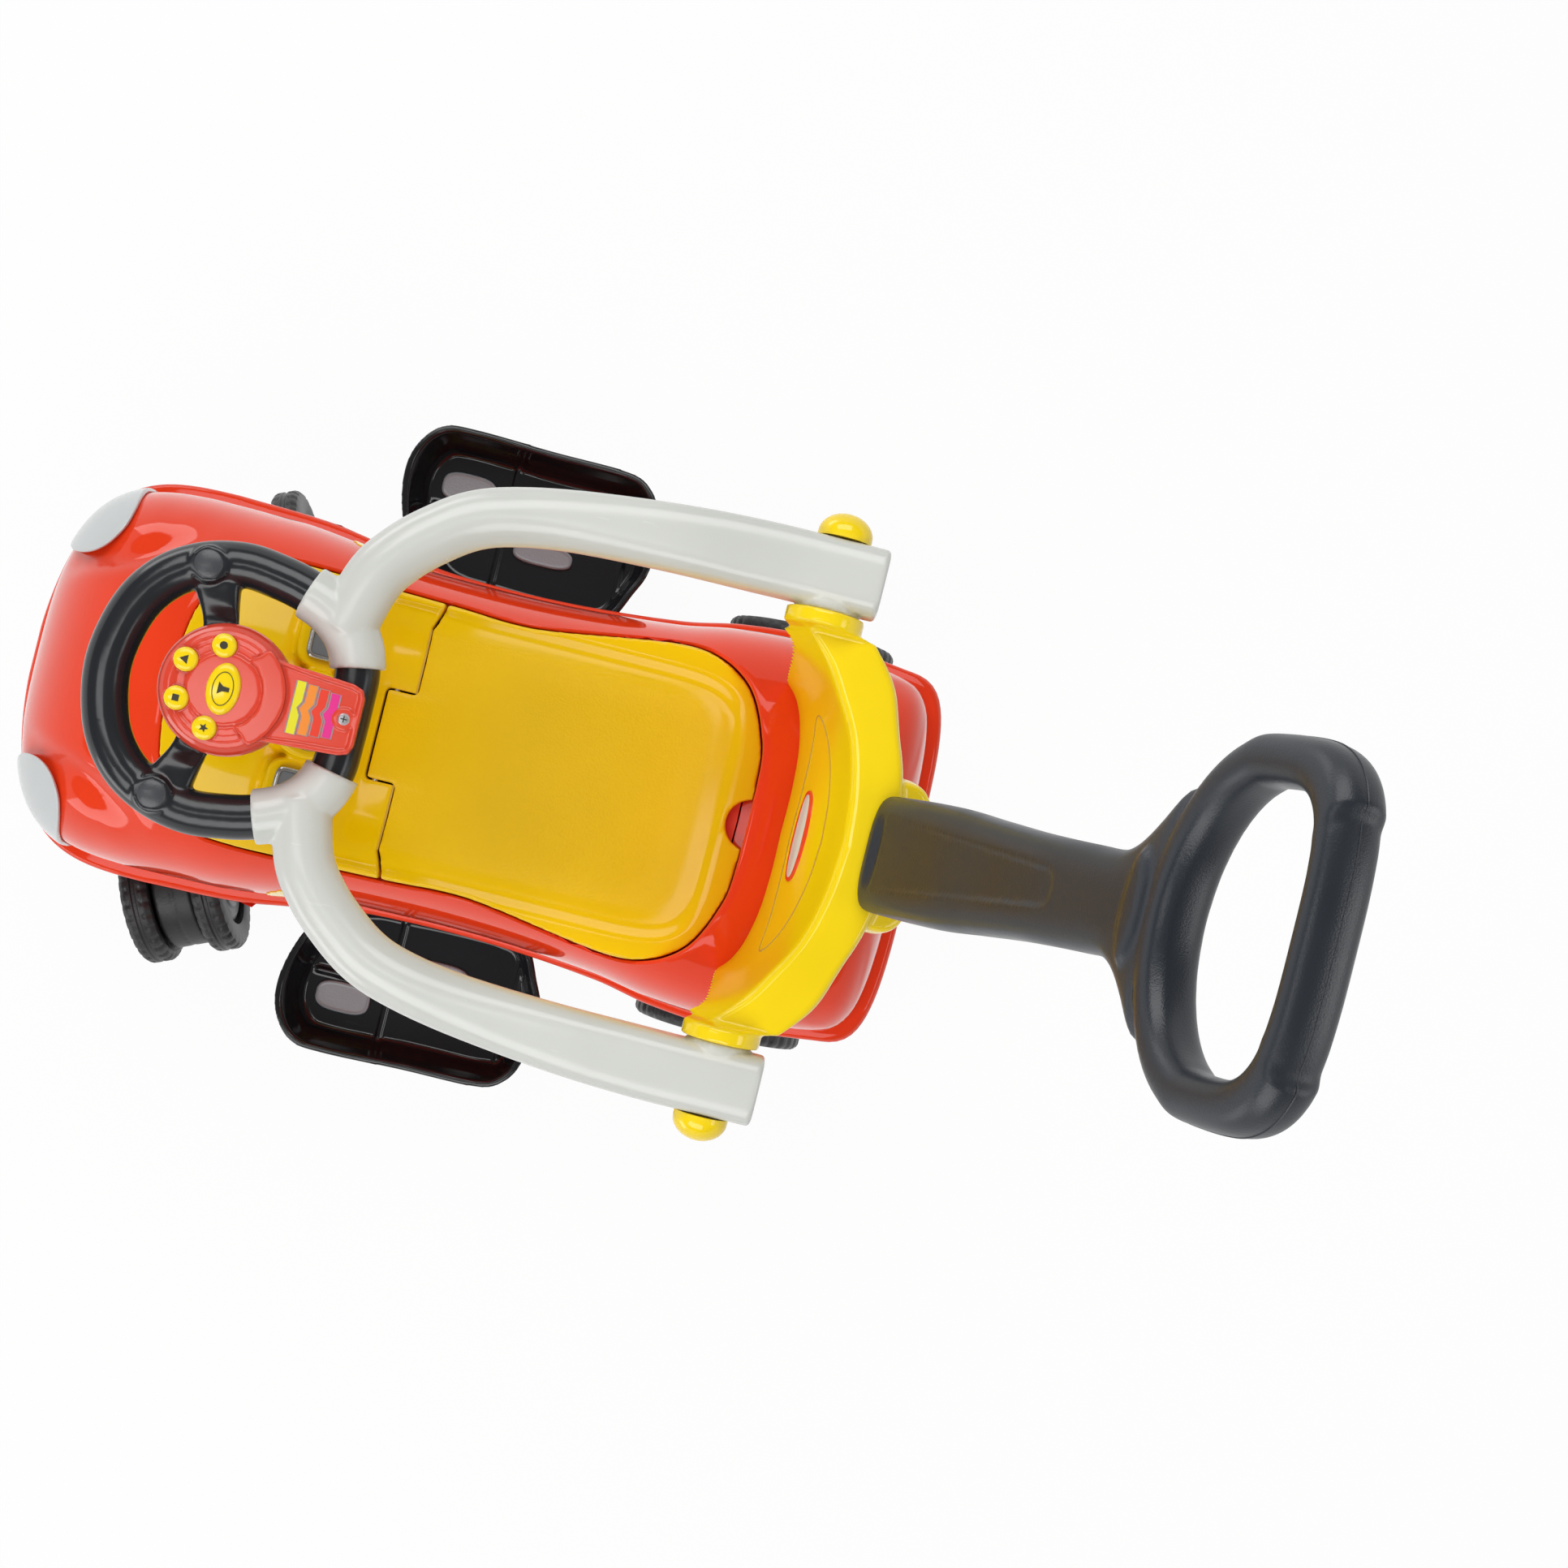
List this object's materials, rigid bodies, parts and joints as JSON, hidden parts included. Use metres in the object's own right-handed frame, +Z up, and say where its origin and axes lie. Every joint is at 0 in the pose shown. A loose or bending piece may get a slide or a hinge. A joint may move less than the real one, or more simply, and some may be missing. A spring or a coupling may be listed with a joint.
{
  "type": "ride-on car",
  "caption": "Toddler ride-on push car: moulded body on swivel casters and fixed rear wheels, hinged seat over a bin, guard rails, play wheel and push handle.",
  "frame": {"origin": "on the floor, under the middle of the whole car", "axes": "+X to the front of the car, +Y to its left, +Z up"},
  "size_m": [0.7646, 0.462, 0.7926],
  "materials": {
    "red_gloss": "glossy moulded plastic, roughness 0.2",
    "seat_yellow": "satin moulded plastic with a fine pebble grain",
    "bright_yellow": "glossy moulded plastic",
    "off_white": "smooth moulded plastic",
    "black_gloss": "glossy black plastic",
    "charcoal": "satin blow-moulded plastic",
    "hub_red": "glossy moulded plastic",
    "wheel_black": "hard plastic tyre",
    "grey_plastic": "matt moulded plastic",
    "lens_white": "glossy moulded plastic lens",
    "silver_trim": "silver coloured plastic trim",
    "steel": "zinc plated steel",
    "board_green": "circuit board laminate"
  },
  "bodies": {
    "car": {"body_shell": "red_gloss", "storage_bin": "red_gloss", "floor_pan": "black_gloss", "steering_ring": "black_gloss", "hub_base": "black_gloss", "steering_column": "black_gloss", "foot_tray_left": "black_gloss", "foot_tray_right": "black_gloss", "dash_panel": "seat_yellow", "dash_gauge": "silver_trim", "dash_window_left": "silver_trim", "dash_window_right": "silver_trim", "seat_hinge_pin": "steel", "hub_screw": "steel", "handle_bolt": "steel", "rear_axle": "steel", "ring_cap_left": "grey_plastic", "ring_cap_right": "grey_plastic", "foot_pad_front_left": "grey_plastic", "foot_pad_rear_left": "grey_plastic", "foot_pad_front_right": "grey_plastic", "foot_pad_rear_right": "grey_plastic", "hub_cover": "hub_red", "rail_knob_left": "bright_yellow", "rail_knob_right": "bright_yellow", "backrest": "bright_yellow", "circuit_board": "board_green", "speaker": "charcoal", "push_handle": "charcoal", "rail_left": "off_white", "rail_right": "off_white", "axle_bush_left": "off_white", "axle_bush_right": "off_white", "headlamp_left": "lens_white", "headlamp_right": "lens_white"},
    "lid": {"seat_lid": "seat_yellow"},
    "rear_wheel_left": {"rear_wheel_left": "wheel_black", "rear_wheel_cap_left": "grey_plastic"},
    "caster_left": {"caster_stem_left": "steel", "caster_housing_left": "wheel_black", "caster_axle_left": "steel"},
    "caster_wheel_left_front": {"caster_wheel_left_front": "wheel_black", "caster_cap_left_front": "grey_plastic"},
    "caster_wheel_left_rear": {"caster_wheel_left_rear": "wheel_black", "caster_cap_left_rear": "grey_plastic"},
    "rear_wheel_right": {"rear_wheel_right": "wheel_black", "rear_wheel_cap_right": "grey_plastic"},
    "caster_right": {"caster_stem_right": "steel", "caster_housing_right": "wheel_black", "caster_axle_right": "steel"},
    "caster_wheel_right_front": {"caster_wheel_right_front": "wheel_black", "caster_cap_right_front": "grey_plastic"},
    "caster_wheel_right_rear": {"caster_wheel_right_rear": "wheel_black", "caster_cap_right_rear": "grey_plastic"},
    "button_front_left": {"button_front_left": "bright_yellow"},
    "button_front_right": {"button_front_right": "bright_yellow"},
    "button_side_left": {"button_side_left": "bright_yellow"},
    "button_side_right": {"button_side_right": "bright_yellow"},
    "horn_button": {"horn_button": "bright_yellow"}
  },
  "joints": [
    {"name": "seat_lid_hinge", "type": "hinge", "parent": "car", "child": "lid", "pos_m": [0.11132, 0, 0.2295], "axis": [0, 1, 0], "range_deg": [0, 70]},
    {"name": "rear_wheel_left_spin", "type": "hinge", "parent": "car", "child": "rear_wheel_left", "pos_m": [-0.14118, 0.13, 0.061], "axis": [0, 1, 0], "continuous": true},
    {"name": "caster_left_swivel", "type": "hinge", "parent": "car", "child": "caster_left", "pos_m": [0.27032, 0.1245, 0.1], "axis": [0, 0, 1], "continuous": true},
    {"name": "caster_wheel_left_front_spin", "type": "hinge", "parent": "caster_left", "child": "caster_wheel_left_front", "pos_m": [0.26138, 0.1446, 0.048], "axis": [0.9135, 0.4067, 0], "continuous": true},
    {"name": "caster_wheel_left_rear_spin", "type": "hinge", "parent": "caster_left", "child": "caster_wheel_left_rear", "pos_m": [0.26138, 0.1446, 0.048], "axis": [0.9135, 0.4067, 0], "continuous": true},
    {"name": "rear_wheel_right_spin", "type": "hinge", "parent": "car", "child": "rear_wheel_right", "pos_m": [-0.14118, -0.13, 0.061], "axis": [0, 1, 0], "continuous": true},
    {"name": "caster_right_swivel", "type": "hinge", "parent": "car", "child": "caster_right", "pos_m": [0.27032, -0.1245, 0.1], "axis": [0, 0, 1], "continuous": true},
    {"name": "caster_wheel_right_front_spin", "type": "hinge", "parent": "caster_right", "child": "caster_wheel_right_front", "pos_m": [0.26138, -0.1044, 0.048], "axis": [0.9135, 0.4067, 0], "continuous": true},
    {"name": "caster_wheel_right_rear_spin", "type": "hinge", "parent": "caster_right", "child": "caster_wheel_right_rear", "pos_m": [0.26138, -0.1044, 0.048], "axis": [0.9135, 0.4067, 0], "continuous": true},
    {"name": "button_front_left_press", "type": "slide", "parent": "car", "child": "button_front_left", "axis": [0.1392, 0, -0.9903], "range_m": [0, 0.0018], "stiffness_N_per_m": 200, "springref_m": -0.002},
    {"name": "button_front_right_press", "type": "slide", "parent": "car", "child": "button_front_right", "axis": [0.1392, 0, -0.9903], "range_m": [0, 0.0018], "stiffness_N_per_m": 200, "springref_m": -0.002},
    {"name": "button_side_left_press", "type": "slide", "parent": "car", "child": "button_side_left", "axis": [0.1392, 0, -0.9903], "range_m": [0, 0.0018], "stiffness_N_per_m": 200, "springref_m": -0.002},
    {"name": "button_side_right_press", "type": "slide", "parent": "car", "child": "button_side_right", "axis": [0.1392, 0, -0.9903], "range_m": [0, 0.0018], "stiffness_N_per_m": 200, "springref_m": -0.002},
    {"name": "horn_button_press", "type": "slide", "parent": "car", "child": "horn_button", "axis": [0.1392, 0, -0.9903], "range_m": [0, 0.0018], "stiffness_N_per_m": 200, "springref_m": -0.002}
  ]
}
